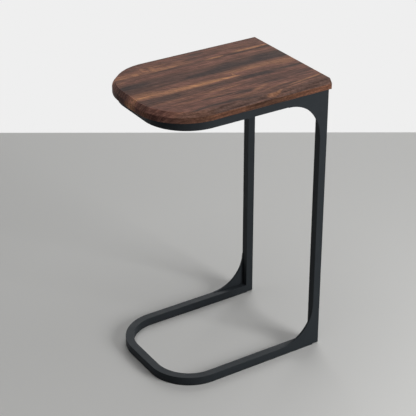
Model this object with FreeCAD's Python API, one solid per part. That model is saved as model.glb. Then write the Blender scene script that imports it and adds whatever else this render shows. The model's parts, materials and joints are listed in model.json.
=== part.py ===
import FreeCAD, Part
import math
import os

from FreeCAD import Vector

# C-shaped side table: a walnut top on a welded frame of square tube, open at the front and
# on both sides so that its base slides under a sofa.
# Millimetres, +Z up. The origin is on the floor under the middle of the table's outline,
# +X points to the uprights, and -Y is the near side.

# Welded frame
frame_length = 398.5  # front of the base loop to the rear face of the uprights
frame_width = 297.0  # over the outer faces of the side tubes
frame_height = 652.0  # underside of the base loop to the top of the rim
frame_bend_radius = 103.0  # outer plan radius of the two bends of each loop
tube_size = 19.0
tube_wall = 1.5
tube_corner = 0.8  # outer corner radius of the square tube
tube_bore_corner = 0.5  # corner radius of the tube's bore

# Gusset plates in the corners of the C
gusset_radius = 85.0
gusset_thickness = 5.0
gusset_tip = 0.8  # height of the plate's edge where its arc ends

# Wooden top, edge-glued from three boards
top_thickness = 23.0
front_overhang = 15.5
side_overhang = 3.5
rear_overhang = 5.0
top_corner_radius = 117.0
bevel_width = 8.0
bevel_height = 10.0
top_arris = 1.0  # broken edge along the underside and the rear
far_board_width = 68.0
near_board_width = 115.0

# Tabs that hold the top, welded to the inside of the rim
tab_length = 32.0
tab_reach = 25.0
tab_thickness = 3.0
tab_corner = 5.0
tab_slot_length = 10.0
tab_slot_reach = 14.0  # tube face to the middle of the slot
side_tab_from_bend = 25.0
side_tab_from_post = 60.0

# Pan-head wood screws and washers
screw_radius = 2.0
screw_bite = 14.0  # length in the wood
screw_point = 4.0
screw_head_radius = 4.0
screw_head_height = 2.6
screw_head_edge = 1.6
recess_length = 4.4
recess_width = 1.1
recess_depth = 1.4
screw_slot_clearance = 0.5
screw_pilot_clearance = 0.05
pilot_spare = 2.0  # pilot hole past the screw's point
washer_radius = 6.0
washer_thickness = 1.2

# Rubber strip under the base loop
strip_width = 18.0
strip_height = 2.0
strip_edge = 0.6  # rounding of its lower edges
strip_from_rear = 16.0  # rear ends of the tube to the ends of the strip

# How far a cutting shape reaches past what it cuts
cutter_margin = 5.0

# Places that follow from the sizes
top_length = front_overhang + frame_length + rear_overhang
top_width = frame_width + 2 * side_overhang
x_rear = top_length / 2 - rear_overhang
x_front = x_rear - frame_length
x_post = x_rear - tube_size / 2
x_bend = x_front + frame_bend_radius
y_outer = frame_width / 2
y_inner = y_outer - tube_size
y_tube = y_outer - tube_size / 2
y_bend = y_outer - frame_bend_radius
base_bottom = strip_height
rim_top = base_bottom + frame_height
wood_top = rim_top + top_thickness
washer_top = rim_top - tab_thickness
screw_seat = washer_top - washer_thickness
slot_radius = screw_radius + screw_slot_clearance

X = Vector(1, 0, 0)
Y = Vector(0, 1, 0)
Z = Vector(0, 0, 1)
DIAGONAL = math.sqrt(0.5)
SIDES = {"near": -1, "far": 1}


def line(start, end):
    """Straight edge between two points."""
    return Part.LineSegment(start, end).toShape()


def arc(start, middle, end):
    """Circular edge through three points."""
    return Part.Arc(start, middle, end).toShape()


def rounded_square(centre, u, v, size, corner):
    """Face of a square with rounded corners in the plane of u and v."""
    half = size / 2
    flat = half - corner
    bulge = flat + corner * DIAGONAL
    edges = []
    for a, b in ((u, v), (v, -u), (-u, -v), (-v, u)):
        side_end = centre + a * half + b * flat
        edges.append(line(centre + a * half - b * flat, side_end))
        edges.append(arc(side_end, centre + (a + b) * bulge, centre + a * flat + b * half))
    return Part.Face(Part.Wire(edges))


def turned(profile, x, y):
    """Solid of revolution about the upright line through x, y."""
    face = Part.Face(Part.Wire(profile))
    solid = face.revolve(Vector(0, 0, 0), Z, 360)
    solid.translate(Vector(x, y, 0))
    return solid


def loop_bar(z, size, corner):
    """U-shaped bar in plan, bent at both front corners and open at the rear."""
    pieces = []
    for side in SIDES.values():
        rail_end = rounded_square(Vector(x_rear, side * y_tube, z), Y, Z, size, corner)
        pieces.append(rail_end.extrude(X * (x_bend - x_rear)))
        bend_start = rounded_square(Vector(x_bend, side * y_tube, z), Y, Z, size, corner)
        pieces.append(bend_start.revolve(Vector(x_bend, side * y_bend, z), Z, side * 90))
    x_tube = x_front + tube_size / 2
    front_end = rounded_square(Vector(x_tube, -y_bend, z), X, Z, size, corner)
    pieces.append(front_end.extrude(Y * (2 * y_bend)))
    return pieces[0].multiFuse(pieces[1:]).removeSplitter()


def post_bar(side, size, corner):
    """Upright bar over the whole height of the frame."""
    foot = rounded_square(Vector(x_post, side * y_tube, base_bottom), X, Y, size, corner)
    return foot.extrude(Z * frame_height)


def mitre_wedge(z_corner, inward, trims_post):
    """Wedge beyond the mitre plane of an upright's corner, across both sides of the frame.

    z_corner is the height of the outer corner, and inward is 1 where the frame lies above it.
    """
    reach = tube_size + cutter_margin
    x_out, z_out = x_rear + cutter_margin, z_corner - inward * cutter_margin
    x_in, z_in = x_rear - reach, z_corner + inward * reach
    spare = (x_in, z_out) if trims_post else (x_out, z_in)
    y_start = -y_outer - cutter_margin
    corners = [Vector(x, y_start, z) for x, z in ((x_out, z_out), (x_in, z_in), spare)]
    face = Part.Face(Part.makePolygon(corners + corners[:1]))
    return face.extrude(Y * (-2 * y_start))


def loop_tube(z_corner, inward):
    """Bent tube of the base loop or the rim, mitred where it meets the uprights."""
    z = z_corner + inward * tube_size / 2
    tube = loop_bar(z, tube_size, tube_corner)
    tube = tube.cut(loop_bar(z, tube_size - 2 * tube_wall, tube_bore_corner))
    return tube.cut(mitre_wedge(z_corner, inward, trims_post=False))


def upright(side):
    """Upright tube, mitred at both ends."""
    tube = post_bar(side, tube_size, tube_corner)
    tube = tube.cut(post_bar(side, tube_size - 2 * tube_wall, tube_bore_corner))
    tube = tube.cut(mitre_wedge(base_bottom, 1, trims_post=True))
    return tube.cut(mitre_wedge(rim_top, -1, trims_post=True))


def rear_rail():
    """Cross tube between the uprights, level with the rim."""
    start = Vector(x_post, -y_inner, rim_top - tube_size / 2)
    outer = rounded_square(start, X, Z, tube_size, tube_corner)
    bore = rounded_square(start, X, Z, tube_size - 2 * tube_wall, tube_bore_corner)
    return outer.cut(bore).extrude(Y * (2 * y_inner))


def groove_fill(corner, along, deep, wide, leg):
    """Strip in the groove along a tube's rounded corner, mitred at the corner of the C.

    along runs from the corner down the tube, deep points into it from its inner face, and
    wide points inwards from its outer face.
    """
    start = corner - along * tube_corner
    bulge = (deep + wide) * (tube_corner * (1 - DIAGONAL))
    section = Part.Wire([
        line(start, start + deep * tube_corner),
        arc(start + deep * tube_corner, start + bulge, start + wide * tube_corner),
        line(start + wide * tube_corner, start),
    ])
    strip = Part.Face(section).extrude(along * (tube_corner + leg))
    reach = tube_corner + cutter_margin
    edge = corner - wide * reach
    corners = [edge + (deep - along) * reach, edge + (along - deep) * reach, edge - (along + deep) * reach]
    wedge = Part.Face(Part.makePolygon(corners + corners[:1])).extrude(wide * (2 * reach))
    return strip.cut(wedge)


def gusset(side, z_corner, inward):
    """Plate in a corner of the C, flush with the tubes' outer faces.

    It also fills the groove along the tubes' rounded corners, as a weld ground flush does.
    """
    corner = Vector(x_rear - tube_size, side * y_outer, z_corner + inward * tube_size)
    from_post = -X
    from_loop = Z * inward
    wide = Y * -side
    leg = gusset_tip + gusset_radius
    bulge = leg - gusset_radius * DIAGONAL

    def place(post_gap, loop_gap):
        return corner + from_post * post_gap + from_loop * loop_gap

    outline = Part.Wire([
        line(place(0, 0), place(leg, 0)),
        line(place(leg, 0), place(leg, gusset_tip)),
        arc(place(leg, gusset_tip), place(bulge, bulge), place(gusset_tip, leg)),
        line(place(gusset_tip, leg), place(0, leg)),
        line(place(0, leg), place(0, 0)),
    ])
    plate = Part.Face(outline).extrude(wide * gusset_thickness)
    fills = [
        groove_fill(corner, from_post, -from_loop, wide, leg),
        groove_fill(corner, from_loop, -from_post, wide, leg),
    ]
    return plate.multiFuse(fills).removeSplitter()


def tab(root, inward, along):
    """Mounting tab on a tube's inner face, with its slot across the grain of the top."""
    def place(sideways, reach):
        return root + along * sideways + inward * reach

    half = tab_length / 2
    straight = tab_reach - tab_corner
    shoulder = half - tab_corner
    swell = tab_corner * DIAGONAL
    outline = Part.Wire([
        line(place(-half, 0), place(half, 0)),
        line(place(half, 0), place(half, straight)),
        arc(place(half, straight), place(shoulder + swell, straight + swell), place(shoulder, tab_reach)),
        line(place(shoulder, tab_reach), place(-shoulder, tab_reach)),
        arc(place(-shoulder, tab_reach), place(-shoulder - swell, straight + swell), place(-half, straight)),
        line(place(-half, straight), place(-half, 0)),
    ])
    centre = place(0, tab_slot_reach)
    run = Y * (tab_slot_length / 2 - slot_radius)
    bulb = X * slot_radius
    tip = Y * (tab_slot_length / 2)
    slot = Part.Wire([
        line(centre - run + bulb, centre + run + bulb),
        arc(centre + run + bulb, centre + tip, centre + run - bulb),
        line(centre + run - bulb, centre - run - bulb),
        arc(centre - run - bulb, centre - tip, centre - run + bulb),
    ])
    return Part.Face(outline).cut(Part.Face(slot)).extrude(Z * -tab_thickness)


def tab_places():
    """Root point and inward and sideways directions of each tab, by name."""
    x_inner_front = x_front + tube_size
    x_inner_rear = x_rear - tube_size
    places = {
        "front": (Vector(x_inner_front, 0, rim_top), X, Y),
        "rear": (Vector(x_inner_rear, 0, rim_top), -X, Y),
    }
    for name, side in SIDES.items():
        for end, x in (("front", x_bend + side_tab_from_bend), ("rear", x_inner_rear - side_tab_from_post)):
            places[f"{name}_{end}"] = (Vector(x, side * y_inner, rim_top), Y * -side, X)
    return places


def screw_axes():
    """Points on the axes of the screws, one in the middle of each tab's slot."""
    return [root + inward * tab_slot_reach for root, inward, along in tab_places().values()]


def screw(x, y):
    """Pan-head wood screw, driven upwards, with a cross recess in its head."""
    head_bottom = screw_seat - screw_head_height
    tip = rim_top + screw_bite
    edge_radius = screw_head_radius - screw_head_edge
    edge_height = head_bottom + screw_head_edge
    swell = screw_head_edge * DIAGONAL
    solid = turned([
        line(Vector(0, 0, head_bottom), Vector(edge_radius, 0, head_bottom)),
        arc(Vector(edge_radius, 0, head_bottom),
            Vector(edge_radius + swell, 0, edge_height - swell),
            Vector(screw_head_radius, 0, edge_height)),
        line(Vector(screw_head_radius, 0, edge_height), Vector(screw_head_radius, 0, screw_seat)),
        line(Vector(screw_head_radius, 0, screw_seat), Vector(screw_radius, 0, screw_seat)),
        line(Vector(screw_radius, 0, screw_seat), Vector(screw_radius, 0, tip - screw_point)),
        line(Vector(screw_radius, 0, tip - screw_point), Vector(0, 0, tip)),
        line(Vector(0, 0, tip), Vector(0, 0, head_bottom)),
    ], x, y)
    for size_x, size_y in ((recess_length, recess_width), (recess_width, recess_length)):
        corner = Vector(x - size_x / 2, y - size_y / 2, head_bottom - cutter_margin)
        solid = solid.cut(Part.makeBox(size_x, size_y, recess_depth + cutter_margin, corner))
    return solid


def washer(x, y):
    """Flat washer under a tab."""
    seat = Vector(x, y, screw_seat)
    disc = Part.makeCylinder(washer_radius, washer_thickness, seat)
    return disc.cut(Part.makeCylinder(slot_radius, washer_thickness, seat))


def top_outline(z, side_inset, rear_inset):
    """Plan outline of the top, drawn in at its front and sides and at its rear."""
    x_start = -top_length / 2 + side_inset
    x_end = top_length / 2 - rear_inset
    y_side = top_width / 2 - side_inset
    x_round = -top_length / 2 + top_corner_radius
    y_round = top_width / 2 - top_corner_radius
    swell = (top_corner_radius - side_inset) * DIAGONAL
    return Part.Wire([
        line(Vector(x_end, -y_side, z), Vector(x_round, -y_side, z)),
        arc(Vector(x_round, -y_side, z),
            Vector(x_round - swell, -y_round - swell, z),
            Vector(x_start, -y_round, z)),
        line(Vector(x_start, -y_round, z), Vector(x_start, y_round, z)),
        arc(Vector(x_start, y_round, z),
            Vector(x_round - swell, y_round + swell, z),
            Vector(x_round, y_side, z)),
        line(Vector(x_round, y_side, z), Vector(x_end, y_side, z)),
        line(Vector(x_end, y_side, z), Vector(x_end, -y_side, z)),
    ])


def top_blank():
    """Whole top: bevelled round its front and sides, square at the rear, with pilot holes."""
    below_arris = bevel_width * (1 - top_arris / bevel_height)
    levels = (
        (rim_top, top_arris, top_arris),
        (rim_top + top_arris, 0, 0),
        (wood_top - bevel_height, 0, 0),
        (wood_top - top_arris, below_arris, 0),
        (wood_top, bevel_width, top_arris),
    )
    blank = Part.makeLoft([top_outline(*level) for level in levels], True, True).removeSplitter()
    pilot_radius = screw_radius + screw_pilot_clearance
    depth = screw_bite + pilot_spare
    for axis in screw_axes():
        start = Vector(axis.x, axis.y, rim_top - cutter_margin)
        blank = blank.cut(Part.makeCylinder(pilot_radius, depth + cutter_margin, start))
    return blank


def board(blank, y_start, y_end):
    """Strip of the top between two glue joints."""
    corner = Vector(-top_length / 2 - cutter_margin, y_start, rim_top - cutter_margin)
    length = top_length + 2 * cutter_margin
    return blank.common(Part.makeBox(length, y_end - y_start, top_thickness + 2 * cutter_margin, corner))


def glide_strip():
    """Rubber strip along the underside of the base loop, which ends short of the tube's rear ends."""
    bar = loop_bar(strip_width / 2, strip_width, strip_edge)
    corner = Vector(x_front - cutter_margin, -y_outer - cutter_margin, 0)
    length = x_rear - strip_from_rear - corner.x
    return bar.common(Part.makeBox(length, -2 * corner.y, strip_height, corner))


def build():
    """All pieces of the table, by node name."""
    nodes = {
        "glide_strip": glide_strip(),
        "base_loop": loop_tube(base_bottom, 1),
        "upper_rim": loop_tube(rim_top, -1),
        "rear_top_rail": rear_rail(),
    }
    for name, side in SIDES.items():
        nodes[f"upright_{name}"] = upright(side)
        nodes[f"gusset_base_{name}"] = gusset(side, base_bottom, 1)
        nodes[f"gusset_top_{name}"] = gusset(side, rim_top, -1)

    blank = top_blank()
    y_edge = top_width / 2
    y_far_joint = y_edge - far_board_width
    y_near_joint = near_board_width - y_edge
    nodes["top_board_far"] = board(blank, y_far_joint, y_edge)
    nodes["top_board_middle"] = board(blank, y_near_joint, y_far_joint)
    nodes["top_board_near"] = board(blank, -y_edge, y_near_joint)

    for name, (root, inward, along) in tab_places().items():
        nodes[f"tab_{name}"] = tab(root, inward, along)
    nodes["tab_washers"] = Part.makeCompound([washer(axis.x, axis.y) for axis in screw_axes()])
    nodes["tab_screws"] = Part.makeCompound([screw(axis.x, axis.y) for axis in screw_axes()])
    return nodes


os.makedirs("parts", exist_ok=True)
for node, shape in build().items():
    shape.exportStep(f"parts/{node}.step")
    print(node, len(shape.Solids), round(shape.Volume, 1), shape.isValid())
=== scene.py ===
"""Dressed C-shaped side table: a walnut top on a black powder-coated tube frame."""
import json
import logging
import math
from dataclasses import dataclass, field
from enum import Enum
from typing import Callable, Sequence, Union

import bpy
from bpy.types import Material, Node, NodeSocket, NodeTree, Object
from mathutils import Euler, Matrix, Vector


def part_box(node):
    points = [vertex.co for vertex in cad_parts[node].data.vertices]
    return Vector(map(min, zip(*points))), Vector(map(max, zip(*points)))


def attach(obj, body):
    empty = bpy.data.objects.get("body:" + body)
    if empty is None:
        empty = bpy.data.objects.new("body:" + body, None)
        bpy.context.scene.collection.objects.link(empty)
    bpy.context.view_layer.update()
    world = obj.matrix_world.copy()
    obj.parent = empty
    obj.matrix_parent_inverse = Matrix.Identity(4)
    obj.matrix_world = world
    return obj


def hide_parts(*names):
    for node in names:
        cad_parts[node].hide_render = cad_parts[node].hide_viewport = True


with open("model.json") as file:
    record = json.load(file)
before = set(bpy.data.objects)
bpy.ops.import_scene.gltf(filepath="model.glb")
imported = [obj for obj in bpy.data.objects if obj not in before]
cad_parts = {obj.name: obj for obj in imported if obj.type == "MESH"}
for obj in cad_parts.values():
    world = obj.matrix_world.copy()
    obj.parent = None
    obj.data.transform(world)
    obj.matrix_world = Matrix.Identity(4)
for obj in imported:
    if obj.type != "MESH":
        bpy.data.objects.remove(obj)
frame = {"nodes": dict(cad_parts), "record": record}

LOG = logging.getLogger("side_table")
BODY = "root"
MM = 0.001
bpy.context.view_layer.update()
CUT = "cut"  # attribute that notes how the wood is cut at each face

Value = Union[float, Sequence[float], NodeSocket]
Colour = tuple[float, float, float, float]
WHITE: Colour = (1.0, 1.0, 1.0, 1.0)


class Slot(Enum):
    """Material slots of the record."""

    WALNUT = "walnut"
    FRAME_COAT = "frame_coat"
    ZINC = "zinc"
    FOOT_RUBBER = "foot_rubber"


def linear(code: str) -> Colour:
    """Turn a colour as it is seen into the linear values that shaders take.

    Args:
        code: six hexadecimal digits, red first.

    Returns:
        Linear red, green, blue and an alpha of 1.
    """
    parts = [int(code[i:i + 2], 16) / 255 for i in (0, 2, 4)]
    red, green, blue = (p / 12.92 if p <= 0.04045 else ((p + 0.055) / 1.055) ** 2.4 for p in parts)
    return red, green, blue, 1.0


class Graph:
    """One node tree under construction: adds nodes, feeds their inputs and hands back sockets."""

    def __init__(self, tree: NodeTree) -> None:
        """Start on a tree.

        Args:
            tree: a material's or a group's node tree.
        """
        self.tree = tree

    def feed(self, socket: NodeSocket, value: Value) -> None:
        """Link a socket to an input, or set the input's own value.

        Args:
            socket: the input.
            value: a socket to link, or a plain value.
        """
        if isinstance(value, NodeSocket):
            self.tree.links.new(value, socket)
        else:
            socket.default_value = value

    def add(self, kind: str, inputs: dict[Union[str, int], Value], **settings: object) -> Node:
        """Add a node.

        Args:
            kind: the node's type.
            inputs: what each input takes, by name or index.
            **settings: the node's own options.

        Returns:
            The new node.
        """
        node = self.tree.nodes.new(kind)
        for name, value in settings.items():
            setattr(node, name, value)
        for key, value in inputs.items():
            self.feed(node.inputs[key], value)
        return node

    def math(self, operation: str, first: Value, second: Value) -> NodeSocket:
        """Work out one number from two.

        Args:
            operation: the Math node's operation.
            first: the first number.
            second: the second number.

        Returns:
            The result.
        """
        return self.add("ShaderNodeMath", {0: first, 1: second}, operation=operation).outputs[0]

    def vector(self, operation: str, first: Value, second: Value) -> NodeSocket:
        """Work out one vector from two.

        Args:
            operation: the Vector Math node's operation.
            first: the first vector.
            second: the second vector.

        Returns:
            The result, which is a number for a length.
        """
        node = self.add("ShaderNodeVectorMath", {0: first, 1: second}, operation=operation)
        return node.outputs["Value" if operation == "LENGTH" else "Vector"]

    def combine(self, x: Value, y: Value, z: Value) -> NodeSocket:
        """Make a vector of three numbers."""
        return self.add("ShaderNodeCombineXYZ", {0: x, 1: y, 2: z}).outputs[0]

    def noise(self, vector: Value, detail: float, roughness: float = 0.5) -> NodeSocket:
        """Smooth noise of unit scale.

        Args:
            vector: where it is read.
            detail: octaves of finer noise.
            roughness: how strong the finer octaves are.

        Returns:
            The noise, from 0 to 1 and about 0.5 on average.
        """
        inputs = {"Vector": vector, "Scale": 1.0, "Detail": detail, "Roughness": roughness}
        return self.add("ShaderNodeTexNoise", inputs).outputs[0]

    def span(self, value: Value, start: Value, end: Value, low: float = 0.0, high: float = 1.0,
             smooth: bool = False) -> NodeSocket:
        """Map a range of a number to another range, and stop at its ends.

        Args:
            value: the number.
            start: where the range starts.
            end: where the range ends.
            low: the result at the start.
            high: the result at the end.
            smooth: ease in and out.

        Returns:
            The mapped number.
        """
        inputs = {"Value": value, "From Min": start, "From Max": end, "To Min": low, "To Max": high}
        style = "SMOOTHSTEP" if smooth else "LINEAR"
        return self.add("ShaderNodeMapRange", inputs, interpolation_type=style, clamp=True).outputs[0]

    def blend(self, factor: Value, first: Value, second: Value, style: str = "MIX") -> NodeSocket:
        """Blend two colours.

        Args:
            factor: share of the second colour.
            first: the first colour.
            second: the second colour.
            style: the Mix node's blend type.

        Returns:
            The blended colour.
        """
        inputs = {0: factor, 6: first, 7: second}
        return self.add("ShaderNodeMix", inputs, data_type="RGBA", blend_type=style).outputs[2]

    def ramp(self, factor: Value, stops: Sequence[tuple[float, Colour]]) -> NodeSocket:
        """Colour ramp.

        Args:
            factor: place on the ramp.
            stops: positions from 0 to 1 and their colours, in order.

        Returns:
            The colour.
        """
        node = self.add("ShaderNodeValToRGB", {0: factor})
        elements = node.color_ramp.elements
        elements[0].position, elements[0].color = stops[0]
        elements[1].position, elements[1].color = stops[-1]
        for position, colour in stops[1:-1]:
            elements.new(position).color = colour
        return node.outputs[0]

    def bump(self, height: Value, strength: float, distance: float) -> NodeSocket:
        """Turn a height into a normal.

        Args:
            height: the height, from 0 to 1.
            strength: how much of it shows.
            distance: metres from a height of 0 to one of 1.

        Returns:
            The normal.
        """
        node = self.add("ShaderNodeBump", {"Height": height, "Strength": strength, "Distance": distance})
        return node.outputs[0]


def new_group(name: str, inputs: Sequence[tuple[str, str, float]],
              outputs: Sequence[tuple[str, str]]) -> tuple[Graph, Node, Node]:
    """Start a shader node group.

    Args:
        name: the group's name.
        inputs: name, socket type and default of each input (the default of a vector is left alone).
        outputs: name and socket type of each output.

    Returns:
        The group's graph, its input node and its output node.
    """
    tree = bpy.data.node_groups.new(name, "ShaderNodeTree")
    for label, kind, default in inputs:
        socket = tree.interface.new_socket(label, in_out="INPUT", socket_type=kind)
        if kind == "NodeSocketFloat":
            socket.default_value = default
    for label, kind in outputs:
        tree.interface.new_socket(label, in_out="OUTPUT", socket_type=kind)
    graph = Graph(tree)
    return graph, graph.add("NodeGroupInput", {}), graph.add("NodeGroupOutput", {})


def new_material(name: str, constants: dict[str, Value]) -> tuple[Graph, Node, Material]:
    """Start a material on a Principled shader.

    Args:
        name: the material's name.
        constants: what is the same all over the surface, by the shader's socket.

    Returns:
        The material's graph, its shader node and the material.
    """
    material = bpy.data.materials.new(name)
    material.use_nodes = True
    graph = Graph(material.node_tree)
    shader = material.node_tree.nodes["Principled BSDF"]
    for socket, value in constants.items():
        shader.inputs[socket].default_value = value
    return graph, shader, material


@dataclass(frozen=True)
class GrainWave:
    """Noise stretched along the grain. Wavelengths and reach are in millimetres."""

    along: float
    across: float
    detail: float
    roughness: float = 0.5
    reach: float = 0.0  # how far it sways the grain to either side


LONG_SWAY = GrainWave(200, 50, 1.0, reach=5.0)
SHORT_SWAY = GrainWave(45, 11, 2.0, reach=3.0)
STREAKS = GrainWave(80, 3.8, 4.0, 0.68)
FIBRES = GrainWave(34, 0.8, 2.0)
PORES = GrainWave(5.5, 0.4, 1.0)
CLOUDS = GrainWave(90, 22, 2.0)
FLECKS = GrainWave(14, 3.2, 1.0)
FLECK_SLANT = math.radians(38)
NOISE_MEAN = 0.5
PORE_START = 0.62  # noise at which a pore starts
PORE_FULL = 0.72
SEED_STEP = 17.31  # keeps the noise of the boards apart
STROKE_FADE = 0.6  # share of a stroke's half size at which it starts to fade
STROKE_END = 1.3
MOTTLE_SHARE = 0.03  # grain size as a share of the mottle's size
GRIT_DETAIL = 2.0
MOTTLE_DETAIL = 3.0


class SharedEffects:
    """Node groups that more than one finish uses, each built once."""

    def __init__(self) -> None:
        """Build the groups."""
        self.walnut = self.build_walnut()
        self.stroke = self.build_stroke()
        self.grit = self.build_grit()

    @staticmethod
    def build_walnut() -> NodeTree:
        """Solid walnut figure: growth rings about a pith line that runs along X, with streaks and pores.

        Returns:
            The group. Its inputs are in millimetres.
        """
        numbers = ("Pith Y", "Pith Z", "Taper", "Seed")
        masks = ("Ring", "Streak", "Fibre", "Pore", "Cloud", "Fleck")
        graph, given, result = new_group(
            "walnut_figure",
            [("Vector", "NodeSocketVector", 0.0)] + [(label, "NodeSocketFloat", 0.0) for label in numbers],
            [("Place", "NodeSocketVector")] + [(label, "NodeSocketFloat") for label in masks],
        )
        seed = graph.math("MULTIPLY", given.outputs["Seed"], SEED_STEP)
        shift = graph.combine(seed, seed, 0.0)
        place = graph.vector("MULTIPLY", given.outputs["Vector"], (1 / MM, 1 / MM, 1 / MM))

        def stretch(wave: GrainWave, where: NodeSocket) -> NodeSocket:
            """Place measured in a wave's wavelengths."""
            return graph.vector("MULTIPLY", where, (1 / wave.along, 1 / wave.across, 1 / wave.across))

        def read(wave: GrainWave) -> NodeSocket:
            """Noise of a wave, different for each board."""
            where = graph.vector("ADD", stretch(wave, place), shift)
            return graph.noise(where, wave.detail, wave.roughness)

        def swing(wave: GrainWave) -> NodeSocket:
            """Noise of a wave as a shift to either side."""
            return graph.math("MULTIPLY", graph.math("SUBTRACT", read(wave), NOISE_MEAN), 2 * wave.reach)

        sway = graph.math("ADD", swing(LONG_SWAY), swing(SHORT_SWAY))
        axes = graph.add("ShaderNodeSeparateXYZ", {0: place})
        x = axes.outputs[0]
        y = graph.math("ADD", axes.outputs[1], sway)
        off_y = graph.math("SUBTRACT", y, given.outputs["Pith Y"])
        off_z = graph.math("SUBTRACT", axes.outputs[2], given.outputs["Pith Z"])
        radius = graph.vector("LENGTH", graph.combine(off_y, off_z, 0.0), (0.0, 0.0, 0.0))
        ring = graph.math("SUBTRACT", radius, graph.math("MULTIPLY", x, given.outputs["Taper"]))

        along = graph.math("DIVIDE", x, STREAKS.along)
        lines = graph.combine(along, graph.math("DIVIDE", ring, STREAKS.across), seed)
        angled = {"Vector": place, "Angle": FLECK_SLANT}
        slant = graph.add("ShaderNodeVectorRotate", angled, rotation_type="Z_AXIS").outputs[0]
        outputs = {
            "Ring": ring,
            "Place": graph.combine(x, y, 0.0),
            "Streak": graph.noise(lines, STREAKS.detail, STREAKS.roughness),
            "Fibre": read(FIBRES),
            "Pore": graph.span(read(PORES), PORE_START, PORE_FULL),
            "Cloud": read(CLOUDS),
            "Fleck": graph.noise(stretch(FLECKS, slant), FLECKS.detail, FLECKS.roughness),
        }
        for label, socket in outputs.items():
            graph.feed(result.inputs[label], socket)
        return graph.tree

    @staticmethod
    def build_stroke() -> NodeTree:
        """Soft ragged stroke of tone along the grain, straight, slanted or bowed.

        Returns:
            The group. Sizes and places are in millimetres.
        """
        places = ("Middle X", "Middle Y", "Half Length", "Half Width")
        numbers = places + ("Slope", "Bow", "Ragged", "Strength")
        graph, given, result = new_group(
            "tone_stroke",
            [("Place", "NodeSocketVector", 0.0)] + [(label, "NodeSocketFloat", 1.0) for label in numbers],
            [("Mask", "NodeSocketFloat")],
        )
        socket = given.outputs
        axes = graph.add("ShaderNodeSeparateXYZ", {0: socket["Place"]})
        ahead = graph.math("SUBTRACT", axes.outputs[0], socket["Middle X"])
        along = graph.math("DIVIDE", ahead, socket["Half Length"])
        slope = graph.math("MULTIPLY", ahead, socket["Slope"])
        bow = graph.math("MULTIPLY", graph.math("MULTIPLY", along, along), socket["Bow"])
        aside = graph.math("SUBTRACT", axes.outputs[1], socket["Middle Y"])
        aside = graph.math("SUBTRACT", aside, graph.math("ADD", slope, bow))
        across = graph.math("DIVIDE", aside, socket["Half Width"])
        distance = graph.vector("LENGTH", graph.combine(along, across, 0.0), (0.0, 0.0, 0.0))
        distance = graph.math("ADD", distance, socket["Ragged"])
        mask = graph.span(distance, STROKE_FADE, STROKE_END, 1.0, 0.0, smooth=True)
        graph.feed(result.inputs["Mask"], graph.math("MULTIPLY", mask, socket["Strength"]))
        return graph.tree

    @staticmethod
    def build_grit() -> NodeTree:
        """Fine even grain of a coated, plated or moulded surface.

        Returns:
            The group. Grain Size is in millimetres.
        """
        graph, given, result = new_group(
            "fine_grit",
            [("Vector", "NodeSocketVector", 0.0), ("Grain Size", "NodeSocketFloat", 1.0)],
            [("Grain", "NodeSocketFloat"), ("Mottle", "NodeSocketFloat")],
        )
        place = graph.vector("MULTIPLY", given.outputs["Vector"], (1 / MM, 1 / MM, 1 / MM))
        size = given.outputs["Grain Size"]
        fine = graph.vector("DIVIDE", place, graph.combine(size, size, size))
        coarse = graph.vector("MULTIPLY", fine, (MOTTLE_SHARE, MOTTLE_SHARE, MOTTLE_SHARE))
        graph.feed(result.inputs["Grain"], graph.noise(fine, GRIT_DETAIL))
        graph.feed(result.inputs["Mottle"], graph.noise(coarse, MOTTLE_DETAIL))
        return graph.tree


class Tone(Enum):
    """Tones of the walnut, from light to dark."""

    HONEY = "d4986f"
    GOLD = "bb8666"
    TAN = "a07159"
    RED = "855d50"
    TAUPE = "6d5851"
    BROWN = "755448"
    UMBER = "624840"
    DARK = "55433d"
    DEEP = "483936"


class Surface(Enum):
    """Surfaces of a board that a stroke can be kept to."""

    ALL = "all"
    BEVEL = "bevel"
    FACE = "face"  # upright face below the bevel


@dataclass(frozen=True)
class Band:
    """Tone of a board's grain at one distance across it, or below its upper face. Millimetres."""

    across: float  # from the board's far edge
    tone: Tone
    depth: float = 0.0  # from the board's upper face


@dataclass(frozen=True)
class Stroke:
    """Soft stroke of another tone, drawn along the grain. Sizes are in millimetres."""

    from_front: float  # front end of the top to the middle of the stroke
    across: float  # far edge of the top to the middle of the stroke
    length: float
    width: float
    tone: Tone
    strength: float
    slope: float = 0.0
    bow: float = 0.0  # how much further across its two ends lie
    on: Surface = Surface.ALL


@dataclass(frozen=True)
class BoardFigure:
    """How one board was cut from the log, and the tones that it shows."""

    node: str
    pith_across: float  # far edge of the board to the log's centre line, in millimetres
    pith_depth: float  # top of the board down to the log's centre line, in millimetres
    taper: float
    seed: float
    bands: tuple[Band, ...]
    strokes: tuple[Stroke, ...]

    def ring_at(self, band: Band) -> float:
        """Distance of a band from the log's centre line."""
        return math.hypot(band.across - self.pith_across, self.pith_depth - band.depth)


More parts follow.
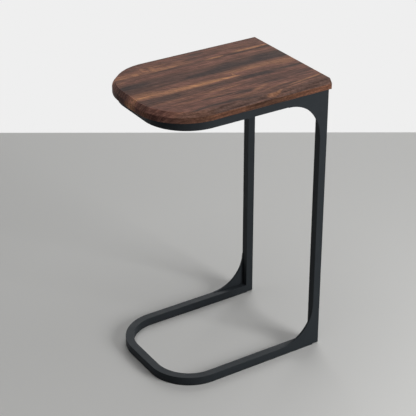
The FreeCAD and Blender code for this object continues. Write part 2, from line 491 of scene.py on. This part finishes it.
JOINT_STREAK = Stroke(273, 67, 44, 8, Tone.HONEY, 1.0)  # lies on both sides of a glue joint
FAR_BOARD = BoardFigure(
    node="top_board_far", pith_across=190.0, pith_depth=90.0, taper=0.01, seed=1.0,
    bands=(
        Band(0, Tone.BROWN), Band(9, Tone.BROWN), Band(20, Tone.RED), Band(34, Tone.BROWN),
        Band(48, Tone.RED), Band(62, Tone.RED), Band(66, Tone.BROWN), Band(68, Tone.UMBER),
    ),
    strokes=(
        Stroke(62, 56, 120, 26, Tone.TAN, 0.8),
        Stroke(118, 49, 70, 38, Tone.TAN, 0.6),
        Stroke(38, 62, 36, 12, Tone.GOLD, 0.7),
        Stroke(74, 58, 20, 18, Tone.GOLD, 0.7),
        Stroke(84, 54, 6, 28, Tone.BROWN, 0.4),
        Stroke(92, 53, 7, 26, Tone.BROWN, 0.5),
        Stroke(100, 42, 8, 22, Tone.GOLD, 0.6),
        Stroke(104, 58, 8, 16, Tone.GOLD, 0.4),
        Stroke(111, 50, 6, 30, Tone.BROWN, 0.5),
        Stroke(121, 50, 12, 34, Tone.GOLD, 0.6),
        Stroke(131, 44, 6, 22, Tone.RED, 0.5),
        Stroke(146, 40, 34, 6, Tone.GOLD, 0.6),
        Stroke(140, 47, 34, 6, Tone.BROWN, 0.5),
        Stroke(152, 59, 74, 13, Tone.GOLD, 0.9),
        Stroke(194, 52, 54, 26, Tone.TAN, 0.7),
        Stroke(240, 26, 44, 14, Tone.DARK, 0.7),
        Stroke(238, 48, 76, 13, Tone.UMBER, 0.8),
        Stroke(314, 21, 44, 9, Tone.UMBER, 0.7),
        Stroke(345, 33, 80, 7, Tone.TAN, 0.6),
        Stroke(330, 42, 90, 7, Tone.BROWN, 0.5),
        JOINT_STREAK,
        Stroke(345, 54, 44, 9, Tone.TAN, 0.8),
        Stroke(374, 60.5, 92, 10, Tone.HONEY, 0.8),
    ),
)
MIDDLE_BOARD = BoardFigure(
    node="top_board_middle", pith_across=-130.0, pith_depth=60.0, taper=-0.008, seed=2.0,
    bands=(
        Band(0, Tone.BROWN), Band(4, Tone.BROWN), Band(9, Tone.RED), Band(20, Tone.RED),
        Band(27, Tone.BROWN), Band(36, Tone.BROWN), Band(46, Tone.UMBER), Band(70, Tone.UMBER),
        Band(77, Tone.BROWN), Band(84, Tone.RED), Band(100, Tone.RED), Band(116, Tone.RED),
        Band(121, Tone.BROWN),
    ),
    strokes=(
        JOINT_STREAK,
        Stroke(165, 71, 160, 4.5, Tone.UMBER, 0.9),
        Stroke(272, 76, 62, 5, Tone.DARK, 0.8, bow=-4),
        Stroke(364, 69.5, 116, 5, Tone.DARK, 0.9),
        Stroke(22, 82, 26, 10, Tone.TAN, 0.6),
        Stroke(370, 80, 100, 9, Tone.TAN, 0.4),
        Stroke(225, 94, 140, 20, Tone.RED, 0.8),
        Stroke(42, 112, 96, 26, Tone.DEEP, 1.0),
        Stroke(116, 109, 90, 18, Tone.UMBER, 0.9),
        Stroke(190, 112, 80, 7, Tone.UMBER, 0.8),
        Stroke(90, 136, 150, 9, Tone.BROWN, 0.7),
        Stroke(80, 145, 150, 8, Tone.UMBER, 0.6),
        Stroke(208, 134, 128, 21, Tone.DEEP, 0.9, slope=-0.06),
        Stroke(262, 125, 100, 32, Tone.DEEP, 0.9, slope=-0.1),
        Stroke(320, 127, 84, 21, Tone.DARK, 0.9),
        Stroke(318, 108, 60, 12, Tone.BROWN, 0.8),
        Stroke(372, 119, 72, 40, Tone.DEEP, 0.8),
        Stroke(408, 122, 44, 40, Tone.DARK, 1.0),
        Stroke(332, 156, 206, 24, Tone.TAN, 0.9),
        Stroke(318, 157, 150, 13, Tone.GOLD, 0.5),
        Stroke(392, 165, 66, 28, Tone.GOLD, 0.5),
        Stroke(36, 167, 84, 32, Tone.GOLD, 0.7),
        Stroke(30, 173, 60, 13, Tone.HONEY, 0.6),
        Stroke(86, 156, 70, 9, Tone.BROWN, 0.6),
        Stroke(150, 159, 110, 8, Tone.BROWN, 0.8),
        Stroke(98, 176, 100, 20, Tone.GOLD, 0.8),
        Stroke(172, 178, 124, 18, Tone.HONEY, 0.8),
        Stroke(232, 179, 62, 9, Tone.HONEY, 0.9),
        Stroke(254, 170, 7, 18, Tone.GOLD, 0.8),
        Stroke(6, 104, 40, 56, Tone.DARK, 0.7, on=Surface.BEVEL),
        Stroke(0, 104, 40, 56, Tone.DARK, 0.6, on=Surface.FACE),
        Stroke(4, 126, 40, 26, Tone.BROWN, 0.5, on=Surface.BEVEL),
        Stroke(0, 126, 40, 26, Tone.BROWN, 0.5, on=Surface.FACE),
        Stroke(0, 162, 40, 40, Tone.HONEY, 0.7, on=Surface.FACE),
    ),
)
NEAR_BOARD = BoardFigure(
    node="top_board_near", pith_across=112.0, pith_depth=46.0, taper=0.04, seed=3.0,
    bands=(
        Band(0, Tone.BROWN), Band(6, Tone.BROWN), Band(16, Tone.BROWN), Band(25, Tone.RED),
        Band(33, Tone.RED), Band(44, Tone.RED), Band(54, Tone.RED), Band(62, Tone.RED),
        Band(80, Tone.RED), Band(96, Tone.BROWN), Band(115, Tone.BROWN), Band(112, Tone.BROWN, 5),
        Band(112, Tone.RED, 23),
    ),
    strokes=(
        Stroke(54, 190.5, 100, 5, Tone.DARK, 0.9),
        Stroke(52, 198, 96, 18, Tone.UMBER, 0.8),
        Stroke(52, 205, 90, 6, Tone.DARK, 0.7),
        Stroke(190, 202, 84, 20, Tone.UMBER, 1.0),
        Stroke(196, 198, 56, 10, Tone.DARK, 0.5),
        Stroke(238, 200, 50, 16, Tone.UMBER, 0.5),
        Stroke(304, 197, 104, 20, Tone.DEEP, 1.0),
        Stroke(382, 193, 96, 11, Tone.DARK, 1.0),
        Stroke(85, 219, 130, 8, Tone.TAN, 0.6),
        Stroke(190, 222, 104, 9, Tone.TAN, 0.9),
        Stroke(190, 223, 80, 4, Tone.GOLD, 0.6),
        Stroke(70, 231, 100, 9, Tone.BROWN, 0.6),
        Stroke(110, 241, 110, 8, Tone.TAN, 0.5),
        Stroke(165, 241.5, 60, 6, Tone.TAN, 0.9),
        Stroke(178, 250, 130, 6, Tone.DARK, 0.9),
        Stroke(224, 257, 42, 16, Tone.DARK, 0.9),
        Stroke(334, 230, 200, 30, Tone.UMBER, 0.7),
        Stroke(312, 242, 70, 8, Tone.DARK, 0.7),
        Stroke(388, 246, 80, 7, Tone.DARK, 0.7),
        Stroke(395, 227, 50, 9, Tone.UMBER, 0.6),
        Stroke(266, 257, 54, 15, Tone.TAN, 0.7, slope=-0.35),
        Stroke(264, 257, 40, 8, Tone.GOLD, 0.4, slope=-0.35),
        Stroke(296, 269, 80, 6, Tone.GOLD, 0.5, slope=-0.2, bow=2),
        Stroke(372, 270.5, 104, 6, Tone.HONEY, 0.5, slope=-0.17, bow=1),
        Stroke(296, 277, 100, 6, Tone.UMBER, 0.8, slope=-0.2, bow=2),
        Stroke(362, 278, 100, 6, Tone.UMBER, 0.7, slope=-0.16, bow=1),
        Stroke(330, 286, 110, 5, Tone.TAN, 0.6, slope=-0.15, bow=2),
        Stroke(215, 275, 66, 16, Tone.TAN, 0.7),
        Stroke(140, 284.5, 170, 8, Tone.DARK, 0.9, bow=12),
        Stroke(140, 294, 150, 6, Tone.RED, 0.7, bow=10),
        Stroke(222, 298, 64, 11, Tone.DARK, 0.8),
        Stroke(372, 298, 110, 14, Tone.UMBER, 0.6),
        Stroke(150, 300, 290, 60, Tone.TAUPE, 0.9, on=Surface.BEVEL),
        Stroke(360, 300, 190, 60, Tone.TAUPE, 0.9, on=Surface.BEVEL),
        Stroke(268, 299, 26, 9, Tone.GOLD, 0.6, on=Surface.BEVEL),
        Stroke(288, 296, 18, 7, Tone.GOLD, 0.6, slope=-0.3),
        Stroke(70, 290, 110, 60, Tone.TAN, 0.35, on=Surface.BEVEL),
        Stroke(220, 304, 500, 60, Tone.BROWN, 0.8, on=Surface.FACE),
        Stroke(150, 304, 100, 60, Tone.RED, 0.7, on=Surface.FACE),
        Stroke(250, 304, 100, 60, Tone.UMBER, 0.7, on=Surface.FACE),
        Stroke(385, 304, 120, 60, Tone.RED, 1.0, on=Surface.FACE),
        Stroke(98, 304, 44, 60, Tone.UMBER, 0.6, on=Surface.FACE),
        Stroke(48, 290, 44, 60, Tone.BROWN, 0.6, on=Surface.FACE),
        Stroke(10, 232, 50, 80, Tone.RED, 0.7, on=Surface.FACE),
        Stroke(4, 214, 40, 26, Tone.TAN, 0.7, on=Surface.FACE),
    ),
)
BOARDS = (FAR_BOARD, MIDDLE_BOARD, NEAR_BOARD)


@dataclass(frozen=True)
class WalnutFinish:
    """Oiled walnut with a satin sheen."""

    effects: SharedEffects
    top_low: Vector
    top_high: Vector
    roughness: float = 0.48
    streak_roughness: float = 0.14  # how much it changes from dark to light streaks
    pore_roughness: float = 0.2  # how much rougher the pores are
    specular: float = 0.024
    fibre_height: float = 0.4  # as a share of the pores' depth
    relief: float = 0.25  # how much of the fibres and pores shows
    pore_depth: float = 0.00012  # metres
    ragged: float = 2.2  # how far the streaks fray a stroke's edge
    pore_tone: str = "2a1c19"
    pore_share: float = 0.5
    streak_shades: tuple[tuple[float, Colour], ...] = (
        (0.32, (0.56, 0.56, 0.58, 1.0)),
        (0.5, WHITE),
        (0.68, (1.56, 1.52, 1.46, 1.0)),
    )
    cloud_shades: tuple[float, float] = (0.82, 1.12)
    fleck_shades: tuple[float, float] = (0.66, 1.34)
    fibre_shades: tuple[float, float] = (0.64, 1.36)
    noise_range: tuple[float, float] = (0.25, 0.75)  # in which most of the noise lies
    bevel_painted_light: Colour = (1.9, 2.0, 2.2, 1.0)  # painted light: lighter front bevel, which faces away from the lamps
    # painted light: lighter upright end face at the front
    end_face_painted_light: Colour = (1.6, 1.7, 2.0, 1.0)
    side_painted_shade: Colour = (0.92, 0.9, 0.78, 1.0)  # painted shade: darker, warmer upright long edges

    def dress(self, figure: BoardFigure) -> Material:
        """Material of one board.

        Args:
            figure: the board's cut and tones.

        Returns:
            The material.
        """
        name = f"walnut_{figure.node}"
        graph, shader, material = new_material(name, {"Specular IOR Level": self.specular})
        place = graph.add("ShaderNodeTexCoord", {})
        far_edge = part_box(figure.node)[1].y / MM
        log = graph.add("ShaderNodeGroup", {}, node_tree=self.effects.walnut)
        inputs = {
            "Vector": place.outputs["Object"],
            "Pith Y": far_edge - figure.pith_across,
            "Pith Z": self.top_high.z / MM - figure.pith_depth,
            "Taper": figure.taper,
            "Seed": figure.seed,
        }
        for label, value in inputs.items():
            graph.feed(log.inputs[label], value)

        colour = self.bands(graph, log, figure)
        colour = self.strokes(graph, log, figure, colour)
        colour = self.grain(graph, log, colour)
        graph.feed(shader.inputs["Base Color"], colour)

        rough = graph.math("MULTIPLY", log.outputs["Streak"], self.streak_roughness)
        rough = graph.math("ADD", rough, self.roughness - self.streak_roughness / 2)
        pores = graph.math("MULTIPLY", log.outputs["Pore"], self.pore_roughness)
        graph.feed(shader.inputs["Roughness"], graph.math("ADD", rough, pores))
        fibres = graph.math("MULTIPLY", log.outputs["Fibre"], self.fibre_height)
        height = graph.math("SUBTRACT", fibres, log.outputs["Pore"])
        graph.feed(shader.inputs["Normal"], graph.bump(height, self.relief, self.pore_depth))
        return material

    @staticmethod
    def cut_shares(graph: Graph) -> list[NodeSocket]:
        """Read how the wood is cut: shares of end grain, of the bevel and of the upright face."""
        noted = graph.add("ShaderNodeAttribute", {}, attribute_name=CUT)
        return list(graph.add("ShaderNodeSeparateXYZ", {0: noted.outputs["Vector"]}).outputs)

    @staticmethod
    def bands(graph: Graph, log: Node, figure: BoardFigure) -> NodeSocket:
        """Broad tones across the board, which follow its growth rings.

        Args:
            graph: the material's graph.
            log: the walnut figure's node.
            figure: the board's cut and tones.

        Returns:
            The colour.
        """
        rings = sorted((figure.ring_at(band), linear(band.tone.value)) for band in figure.bands)
        start, end = rings[0][0], rings[-1][0]
        share = graph.span(log.outputs["Ring"], start, end)
        return graph.ramp(share, [((ring - start) / (end - start), tone) for ring, tone in rings])

    def strokes(self, graph: Graph, log: Node, figure: BoardFigure,
                colour: NodeSocket) -> NodeSocket:
        """Strokes of other tones over the bands.

        Args:
            graph: the material's graph.
            log: the walnut figure's node.
            figure: the board's cut and tones.
            colour: the colour so far.

        Returns:
            The new colour.
        """
        uneven = graph.math("SUBTRACT", log.outputs["Streak"], NOISE_MEAN)
        ragged = graph.math("MULTIPLY", uneven, self.ragged)
        flipped = graph.vector("MULTIPLY", log.outputs["Place"], (1.0, -1.0, 0.0))
        place = graph.vector("ADD", flipped, (-self.top_low.x / MM, self.top_high.y / MM, 0.0))
        shares = self.cut_shares(graph)
        cut = {Surface.BEVEL: shares[1], Surface.FACE: shares[2]}
        for stroke in figure.strokes:
            inputs = {
                "Place": place,
                "Middle X": stroke.from_front,
                "Middle Y": stroke.across,
                "Half Length": stroke.length / 2,
                "Half Width": stroke.width / 2,
                "Slope": stroke.slope,
                "Bow": stroke.bow,
                "Ragged": ragged,
                "Strength": stroke.strength,
            }
            node = graph.add("ShaderNodeGroup", {}, node_tree=self.effects.stroke)
            for label, value in inputs.items():
                graph.feed(node.inputs[label], value)
            mask = node.outputs["Mask"]
            if stroke.on is not Surface.ALL:
                mask = graph.math("MULTIPLY", mask, cut[stroke.on])
            colour = graph.blend(mask, colour, linear(stroke.tone.value))
        return colour

    def grain(self, graph: Graph, log: Node, colour: NodeSocket) -> NodeSocket:
        """Streaks, clouds, flecks, fibres and pores over the broad tones, with painted light and shade on
        the edges.

        Args:
            graph: the material's graph.
            log: the walnut figure's node.
            colour: the colour so far.

        Returns:
            The new colour.
        """
        streak = graph.ramp(log.outputs["Streak"], self.streak_shades)
        colour = graph.blend(1.0, colour, streak, "MULTIPLY")
        shades = {"Cloud": self.cloud_shades, "Fleck": self.fleck_shades, "Fibre": self.fibre_shades}
        for label, limits in shades.items():
            level = graph.span(log.outputs[label], *self.noise_range, *limits)
            colour = graph.blend(1.0, colour, graph.combine(level, level, level), "MULTIPLY")
        # painted light and shade by how each face is cut: lighter front bevel and end face, darker and
        # warmer long upright edges
        end_grain, _, face = self.cut_shares(graph)
        # painted shade on the long upright edges
        along = graph.blend(face, WHITE, self.side_painted_shade)
        gain = graph.blend(end_grain, along, graph.blend(face, self.bevel_painted_light, self.end_face_painted_light))
        colour = graph.blend(1.0, colour, gain, "MULTIPLY")
        pores = graph.math("MULTIPLY", log.outputs["Pore"], self.pore_share)
        return graph.blend(pores, colour, linear(self.pore_tone))


@dataclass(frozen=True)
class CoatFinish:
    """Even opaque finish with a fine grain: powder coat, zinc plate or moulded rubber."""

    name: str
    slot: Slot
    tone: str
    light_tone: str
    grain_size: float  # millimetres
    grain_height: float  # metres
    roughness: float
    specular: float
    metallic: float = 0.0
    mottle: float = 0.04  # how much it shifts the tone
    mottle_roughness: float = 0.06
    relief: float = 0.35  # how much of the grain's height shows
    noise_range: tuple[float, float] = (0.3, 0.7)  # in which most of the noise lies

    def dress(self, effects: SharedEffects) -> Material:
        """Build the material.

        Args:
            effects: the shared node groups.

        Returns:
            The material.
        """
        constants = {"Metallic": self.metallic, "Specular IOR Level": self.specular}
        graph, shader, material = new_material(self.name, constants)
        place = graph.add("ShaderNodeTexCoord", {})
        grit = graph.add("ShaderNodeGroup", {}, node_tree=effects.grit)
        graph.feed(grit.inputs["Vector"], place.outputs["Object"])
        graph.feed(grit.inputs["Grain Size"], self.grain_size)
        mottle = graph.span(grit.outputs["Mottle"], *self.noise_range, -self.mottle, self.mottle)
        share = graph.span(graph.math("ADD", grit.outputs["Grain"], mottle), *self.noise_range)
        colour = graph.blend(share, linear(self.tone), linear(self.light_tone))
        graph.feed(shader.inputs["Base Color"], colour)
        smooth, rough = self.roughness - self.mottle_roughness, self.roughness + self.mottle_roughness
        gloss = graph.span(grit.outputs["Mottle"], *self.noise_range, smooth, rough)
        graph.feed(shader.inputs["Roughness"], gloss)
        normal = graph.bump(grit.outputs["Grain"], self.relief, self.grain_height)
        graph.feed(shader.inputs["Normal"], normal)
        return material


POWDER_COAT = CoatFinish("powder_coat", Slot.FRAME_COAT, "2d3135", "363b3f", 0.7, 0.00012, 0.5, 0.09)
ZINC_PLATE = CoatFinish("zinc_plate", Slot.ZINC, "9a9c9f", "b4b6b8", 0.5, 0.00004, 0.34, 0.5, 1.0)
# dark rubber strip under the base tube, whose dark band also stands in for the shade in the gap under the
# tube
RUBBER_STRIP_AND_SHADE = CoatFinish("rubber_strip_and_shade", Slot.FOOT_RUBBER, "1d1f21", "26292b", 0.9, 0.0002, 0.75, 0.2)


def deselect() -> None:
    """Leave edit mode and deselect everything."""
    if bpy.context.object and bpy.context.object.mode != "OBJECT":
        bpy.ops.object.mode_set(mode="OBJECT")
    bpy.ops.object.select_all(action="DESELECT")


def pick(obj: Object) -> None:
    """Make an object the only selected one, and the active one.

    Args:
        obj: the object.
    """
    deselect()
    obj.select_set(True)
    bpy.context.view_layer.objects.active = obj


def select_vertices(obj: Object, test: Callable[[Vector], bool]) -> None:
    """Select the vertices of the mesh in edit mode that pass a test of their place.

    Args:
        obj: the object in edit mode.
        test: takes a vertex's place and says whether it is selected.
    """
    bpy.ops.mesh.select_mode(type="VERT")
    bpy.ops.mesh.select_all(action="DESELECT")
    bpy.ops.object.mode_set(mode="OBJECT")
    for vertex in obj.data.vertices:
        vertex.select = bool(test(vertex.co))
    bpy.ops.object.mode_set(mode="EDIT")


@dataclass
class WalnutTop:
    """Top of three edge-glued boards, bevelled round its front and sides. Sizes are in metres."""

    finish: WalnutFinish
    low: Vector
    high: Vector
    corner_radius: float = 117 * MM
    bevel_width: float = 8 * MM
    bevel_height: float = 10 * MM
    arris: float = 0.9 * MM
    corner_steps: int = 40
    arris_steps: int = 3
    sharp_angle: float = math.radians(20)  # edges past it get an arris
    smooth_angle: float = math.radians(30)
    upright_below: float = 0.3  # a face whose normal rises less is upright
    flat_above: float = 0.95  # one whose normal rises more is flat
    least_level: float = 0.1  # a face whose normal is less level faces no side
    tolerance: float = 1e-5
    figures: tuple[BoardFigure, ...] = BOARDS

    def build(self) -> list[Object]:
        """Model the top, saw it into its boards and dress them.

        Returns:
            The boards.
        """
        blank = self.model_blank()
        boards = [self.saw(blank, figure) for figure in self.figures]
        bpy.data.objects.remove(blank)
        return boards

    def model_blank(self) -> Object:
        """Model the whole top as one piece.

        Returns:
            The blank, to be sawn and removed.
        """
        deselect()
        middle = (self.low + self.high) / 2
        bpy.ops.mesh.primitive_plane_add(size=1, location=(middle.x, middle.y, self.low.z))
        blank = bpy.context.object
        blank.scale = (self.high.x - self.low.x, self.high.y - self.low.y, 1)
        bpy.ops.object.transform_apply(location=True, rotation=True, scale=True)
        bpy.ops.object.mode_set(mode="EDIT")
        select_vertices(blank, lambda co: co.x < self.low.x + self.tolerance)
        bpy.ops.mesh.bevel(offset=self.corner_radius, segments=self.corner_steps, affect="VERTICES")
        bpy.ops.mesh.select_all(action="SELECT")
        rise = self.high.z - self.low.z - self.bevel_height
        bpy.ops.mesh.extrude_region_move(TRANSFORM_OT_translate={"value": (0, 0, rise)})
        bpy.ops.mesh.inset(thickness=self.bevel_width, depth=self.bevel_height)
        rear = self.high.x - self.bevel_width - self.tolerance
        select_vertices(blank, lambda co: co.z > self.high.z - self.tolerance and co.x > rear)
        bpy.ops.transform.translate(value=(self.bevel_width, 0, 0))
        bpy.ops.mesh.select_all(action="SELECT")
        bpy.ops.mesh.normals_make_consistent(inside=False)
        bpy.ops.mesh.select_mode(type="EDGE")
        bpy.ops.mesh.select_all(action="DESELECT")
        bpy.ops.mesh.edges_select_sharp(sharpness=self.sharp_angle)
        bpy.ops.mesh.bevel(offset=self.arris, segments=self.arris_steps, affect="EDGES")
        bpy.ops.object.mode_set(mode="OBJECT")
        return blank

    def mark_cut(self, board: Object) -> None:
        """Note on each face how it is cut: share across the fibres, whether bevel, whether upright.

        Args:
            board: the board.
        """
        mark = board.data.attributes.new(CUT, "FLOAT_VECTOR", "FACE")
        for face in board.data.polygons:
            rise = face.normal.z
            level = math.hypot(face.normal.x, face.normal.y)
            across = (face.normal.x / level) ** 2 if level > self.least_level else 0.0
            bevel = self.upright_below < rise < self.flat_above
            upright = abs(rise) <= self.upright_below
            mark.data[face.index].vector = (across, float(bevel), float(upright))

    def saw(self, blank: Object, figure: BoardFigure) -> Object:
        """Cut one board out of the blank and dress it.

        Args:
            blank: the whole top.
            figure: the board's cut and tones.

        Returns:
            The board.
        """
        low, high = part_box(figure.node)
        board = blank.copy()
        board.data = blank.data.copy()
        board.name = f"walnut_{figure.node}"
        board.data.name = board.name
        bpy.context.scene.collection.objects.link(board)
        pick(board)
        bpy.ops.object.mode_set(mode="EDIT")
        for joint, outward in ((low.y, -1), (high.y, 1)):
            if self.low.y + self.tolerance < joint < self.high.y - self.tolerance:
                bpy.ops.mesh.select_all(action="SELECT")
                bpy.ops.mesh.bisect(
                    plane_co=(0, joint, 0), plane_no=(0, outward, 0), use_fill=True, clear_outer=True)
        bpy.ops.object.mode_set(mode="OBJECT")
        bpy.ops.object.shade_smooth_by_angle(angle=self.smooth_angle)
        smoother = board.modifiers.new("flat_faces_stay_flat", "WEIGHTED_NORMAL")
        smoother.keep_sharp = True
        bpy.ops.object.modifier_apply(modifier=smoother.name)
        self.mark_cut(board)
        board.data.materials.clear()
        board.data.materials.append(self.finish.dress(figure))
        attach(board, BODY)
        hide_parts(figure.node)
        LOG.info("%s: %d faces", board.name, len(board.data.polygons))
        return board


@dataclass
class CoatedNodes:
    """Pieces of the frame, fixings and floor strip, whose solids are right and only take a finish."""

    finish: CoatFinish
    effects: SharedEffects

    def dress(self) -> None:
        """Give the finish to every solid of its slot."""
        material = self.finish.dress(self.effects)
        for part in frame["record"]["subparts"]:
            if part["material_slot"] == self.finish.slot.value:
                node = frame["nodes"][part["node"]]
                node.material_slots[0].material = material
                LOG.info("%s: %s", part["node"], self.finish.name)


@dataclass(frozen=True)
class SoftLight:
    """Large square lamp that faces the table. Sizes are in metres, angles in degrees."""

    name: str
    power: float
    size: float
    distance: float
    azimuth: float
    elevation: float


KEY_LIGHT = SoftLight("key", 27.0, 0.9, 2.2, 27.0, 16.0)
BACK_LIGHT = SoftLight("back", 60.0, 3.0, 4.5, 139.0, 32.0)
OVERHEAD_LIGHT = SoftLight("overhead", 70.0, 5.0, 4.5, 0.0, 90.0)


@dataclass
class Studio:
    """Plain pale floor and background, soft light and the camera. Metres and degrees."""

    floor_tone: str = "e8e8e6"
    bounce_tone: str = "a4a4a2"  # floor as it lights the table from below
    floor_roughness: float = 0.9
    floor_specular: float = 0.1
    background_tone: str = "efefef"
    floor_reach: float = 1.16  # middle of the table to the middle of each side of the floor
    floor_sides: int = 6
    azimuth: float = -32.35  # of the camera
    elevation: float = 28.28
    roll: float = -0.072
    distance: float = 3.066
    lens: float = 117.24  # millimetres, as is the width of its frame
    lens_frame: float = 36.0
    target: Vector = field(default_factory=lambda: Vector((-0.0087, 0.0022, 0.3563)))
    sky: float = 0.02  # strength of the light from all round
    lights: tuple[SoftLight, ...] = (KEY_LIGHT, BACK_LIGHT, OVERHEAD_LIGHT)

    def build(self) -> None:
        """Build the floor, the lights, the background and the camera."""
        self.lay_floor()
        self.light_world()
        for light in self.lights:
            self.place_light(light)
        self.place_camera()
        bpy.context.scene.view_settings.view_transform = "Standard"
        LOG.info("studio: floor, background, %d lights and camera", len(self.lights))

    @staticmethod
    def direction(azimuth: float, elevation: float) -> Vector:
        """Unit vector from the table towards a place at these angles.

        Args:
            azimuth: turn about the upright axis, from the near side.
            elevation: angle above the floor.

        Returns:
            The vector.
        """
        turn, rise = math.radians(azimuth), math.radians(elevation)
        level = math.cos(rise)
        return Vector((math.sin(turn) * level, -math.cos(turn) * level, math.sin(rise)))

    def lay_floor(self) -> None:
        """Lay the floor with one side square to the camera, clear when seen from below."""
        deselect()
        radius = self.floor_reach / math.cos(math.pi / self.floor_sides)
        turn = math.radians(self.azimuth + 180 / self.floor_sides)
        bpy.ops.mesh.primitive_circle_add(
            vertices=self.floor_sides, radius=radius, fill_type="NGON", rotation=(0, 0, turn))
        floor = bpy.context.object
        floor.name = "floor"
        constants = {"Roughness": self.floor_roughness, "Specular IOR Level": self.floor_specular}
        graph, shader, material = new_material("floor", constants)
        bounce = graph.add("ShaderNodeLightPath", {}).outputs["Is Diffuse Ray"]
        tone = graph.blend(bounce, linear(self.floor_tone), linear(self.bounce_tone))
        graph.feed(shader.inputs["Base Color"], tone)
        side = graph.add("ShaderNodeNewGeometry", {})
        clear = graph.add("ShaderNodeBsdfTransparent", {})
        below = {0: side.outputs["Backfacing"], 1: shader.outputs[0], 2: clear.outputs[0]}
        mixed = graph.add("ShaderNodeMixShader", below)
        graph.feed(material.node_tree.nodes["Material Output"].inputs["Surface"], mixed.outputs[0])
        floor.data.materials.append(material)

    def light_world(self) -> None:
        """Light the table evenly from all round, and show a pale background."""
        world = bpy.data.worlds.new("studio")
        bpy.context.scene.world = world
        world.use_nodes = True
        graph = Graph(world.node_tree)
        sky = world.node_tree.nodes["Background"]
        sky.inputs["Color"].default_value = WHITE
        sky.inputs["Strength"].default_value = self.sky
        seen = graph.add("ShaderNodeBackground", {"Color": linear(self.background_tone), "Strength": 1.0})
        path = graph.add("ShaderNodeLightPath", {})
        direct = graph.math("MAXIMUM", path.outputs["Is Camera Ray"], path.outputs["Is Glossy Ray"])
        direct = graph.math("MAXIMUM", direct, path.outputs["Is Transmission Ray"])
        mixed = graph.add("ShaderNodeMixShader", {0: direct, 1: sky.outputs[0], 2: seen.outputs[0]})
        graph.feed(world.node_tree.nodes["World Output"].inputs["Surface"], mixed.outputs[0])

    def place_light(self, light: SoftLight) -> None:
        """Hang one lamp.

        Args:
            light: the lamp.
        """
        lamp = bpy.data.lights.new(light.name, "AREA")
        lamp.energy = light.power
        lamp.size = light.size
        hung = bpy.data.objects.new(light.name, lamp)
        aim = self.direction(light.azimuth, light.elevation)
        hung.location = self.target + aim * light.distance
        hung.rotation_euler = aim.to_track_quat("Z", "Y").to_euler()
        bpy.context.scene.collection.objects.link(hung)

    def place_camera(self) -> None:
        """Put the camera at the photograph's viewing angle."""
        lens = bpy.data.cameras.new("camera")
        lens.lens = self.lens
        lens.sensor_width = self.lens_frame
        camera = bpy.data.objects.new("camera", lens)
        camera.location = self.target + self.direction(self.azimuth, self.elevation) * self.distance
        facing = Euler((math.radians(90 - self.elevation), 0, math.radians(self.azimuth))).to_matrix()
        camera.rotation_euler = (facing @ Matrix.Rotation(math.radians(self.roll), 3, "Z")).to_euler()
        bpy.context.scene.collection.objects.link(camera)
        bpy.context.scene.camera = camera


def top_box() -> tuple[Vector, Vector]:
    """Measure the three boards of the top together.

    Returns:
        Their lowest and highest corner.
    """
    boxes = [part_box(figure.node) for figure in BOARDS]
    low = Vector(min(box[0][i] for box in boxes) for i in range(3))
    high = Vector(max(box[1][i] for box in boxes) for i in range(3))
    return low, high


def main() -> None:
    """Build and dress the table and set the stage."""
    logging.basicConfig(level=logging.INFO, format="%(message)s")
    effects = SharedEffects()
    low, high = top_box()
    WalnutTop(WalnutFinish(effects, low, high), low, high).build()
    for finish in (POWDER_COAT, ZINC_PLATE, RUBBER_STRIP_AND_SHADE):
        CoatedNodes(finish, effects).dress()
    Studio().build()


if __name__ == "__main__":
    main()
